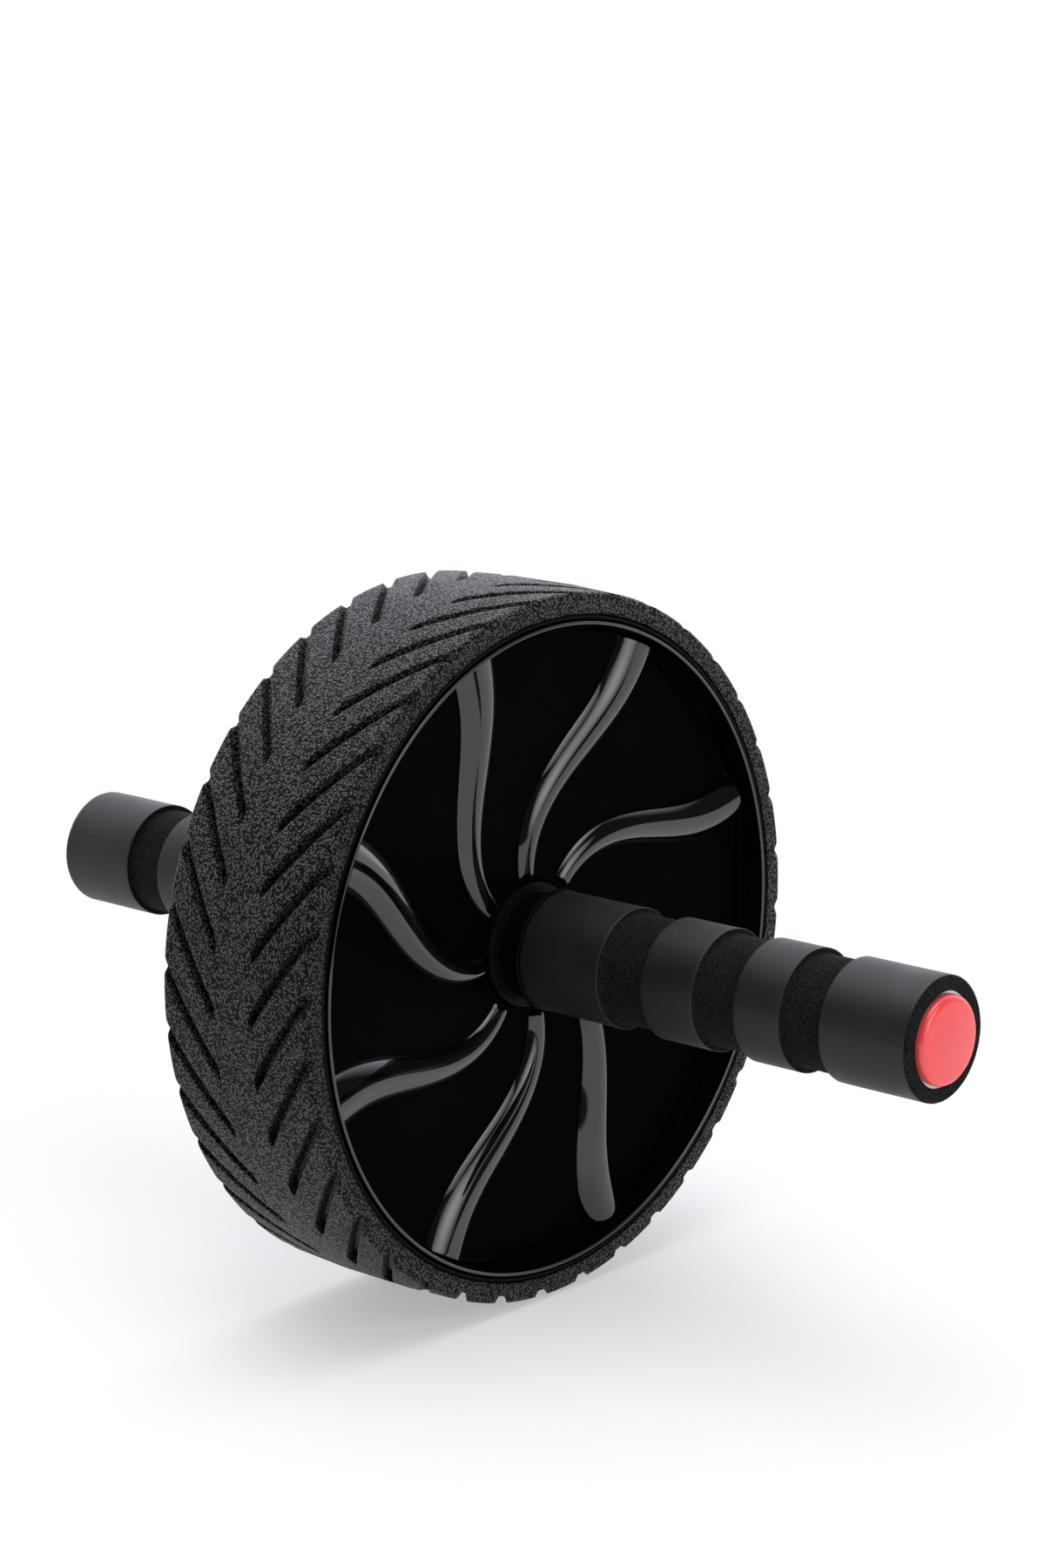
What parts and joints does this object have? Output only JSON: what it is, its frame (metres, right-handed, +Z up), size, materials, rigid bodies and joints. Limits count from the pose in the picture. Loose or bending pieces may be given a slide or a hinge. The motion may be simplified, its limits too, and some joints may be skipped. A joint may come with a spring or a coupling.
{
  "type": "ab wheel roller",
  "caption": "Wide rubber-tyred exercise wheel with dished S-spoke covers, turning on a tube axle with grooved foam hand grips and domed end plugs.",
  "frame": {"origin": "centre of the wheel, on the axle, half way between the two end plugs", "axes": "+Y along the axle towards the left grip, +Z up, +X the rolling direction"},
  "size_m": [0.196, 0.3118, 0.196],
  "materials": {
    "tube_steel": "drawn steel tube",
    "fastener_steel": "zinc plated",
    "foam": "skinned closed-cell foam with ground open-cell grooves",
    "plug_plastic": "moulded red plastic, satin gloss",
    "satin_plastic": "moulded black plastic",
    "gloss_plastic": "polished moulded black plastic",
    "bearing_plastic": "black acetal",
    "tyre_rubber": "moulded rubber with a fine pebbled skin"
  },
  "bodies": {
    "handle": {"axle_tube": "tube_steel", "grip_left": "foam", "grip_right": "foam", "end_plug_left": "plug_plastic", "end_plug_right": "plug_plastic", "collar_left": "satin_plastic", "collar_right": "satin_plastic", "collar_pin_left": "fastener_steel", "collar_pin_right": "fastener_steel", "thrust_washer_left": "bearing_plastic", "thrust_washer_right": "bearing_plastic"},
    "wheel": {"hub_sleeve": "tube_steel", "bush_left": "bearing_plastic", "bush_right": "bearing_plastic", "rim_left": "satin_plastic", "rim_right": "satin_plastic", "rim_screws": "fastener_steel", "cover_left": "gloss_plastic", "cover_right": "gloss_plastic", "tyre": "tyre_rubber"}
  },
  "joints": [
    {"name": "wheel_spin", "type": "hinge", "parent": "handle", "child": "wheel", "pos_m": [0, 0, 0], "axis": [0, 1, 0], "continuous": true}
  ]
}
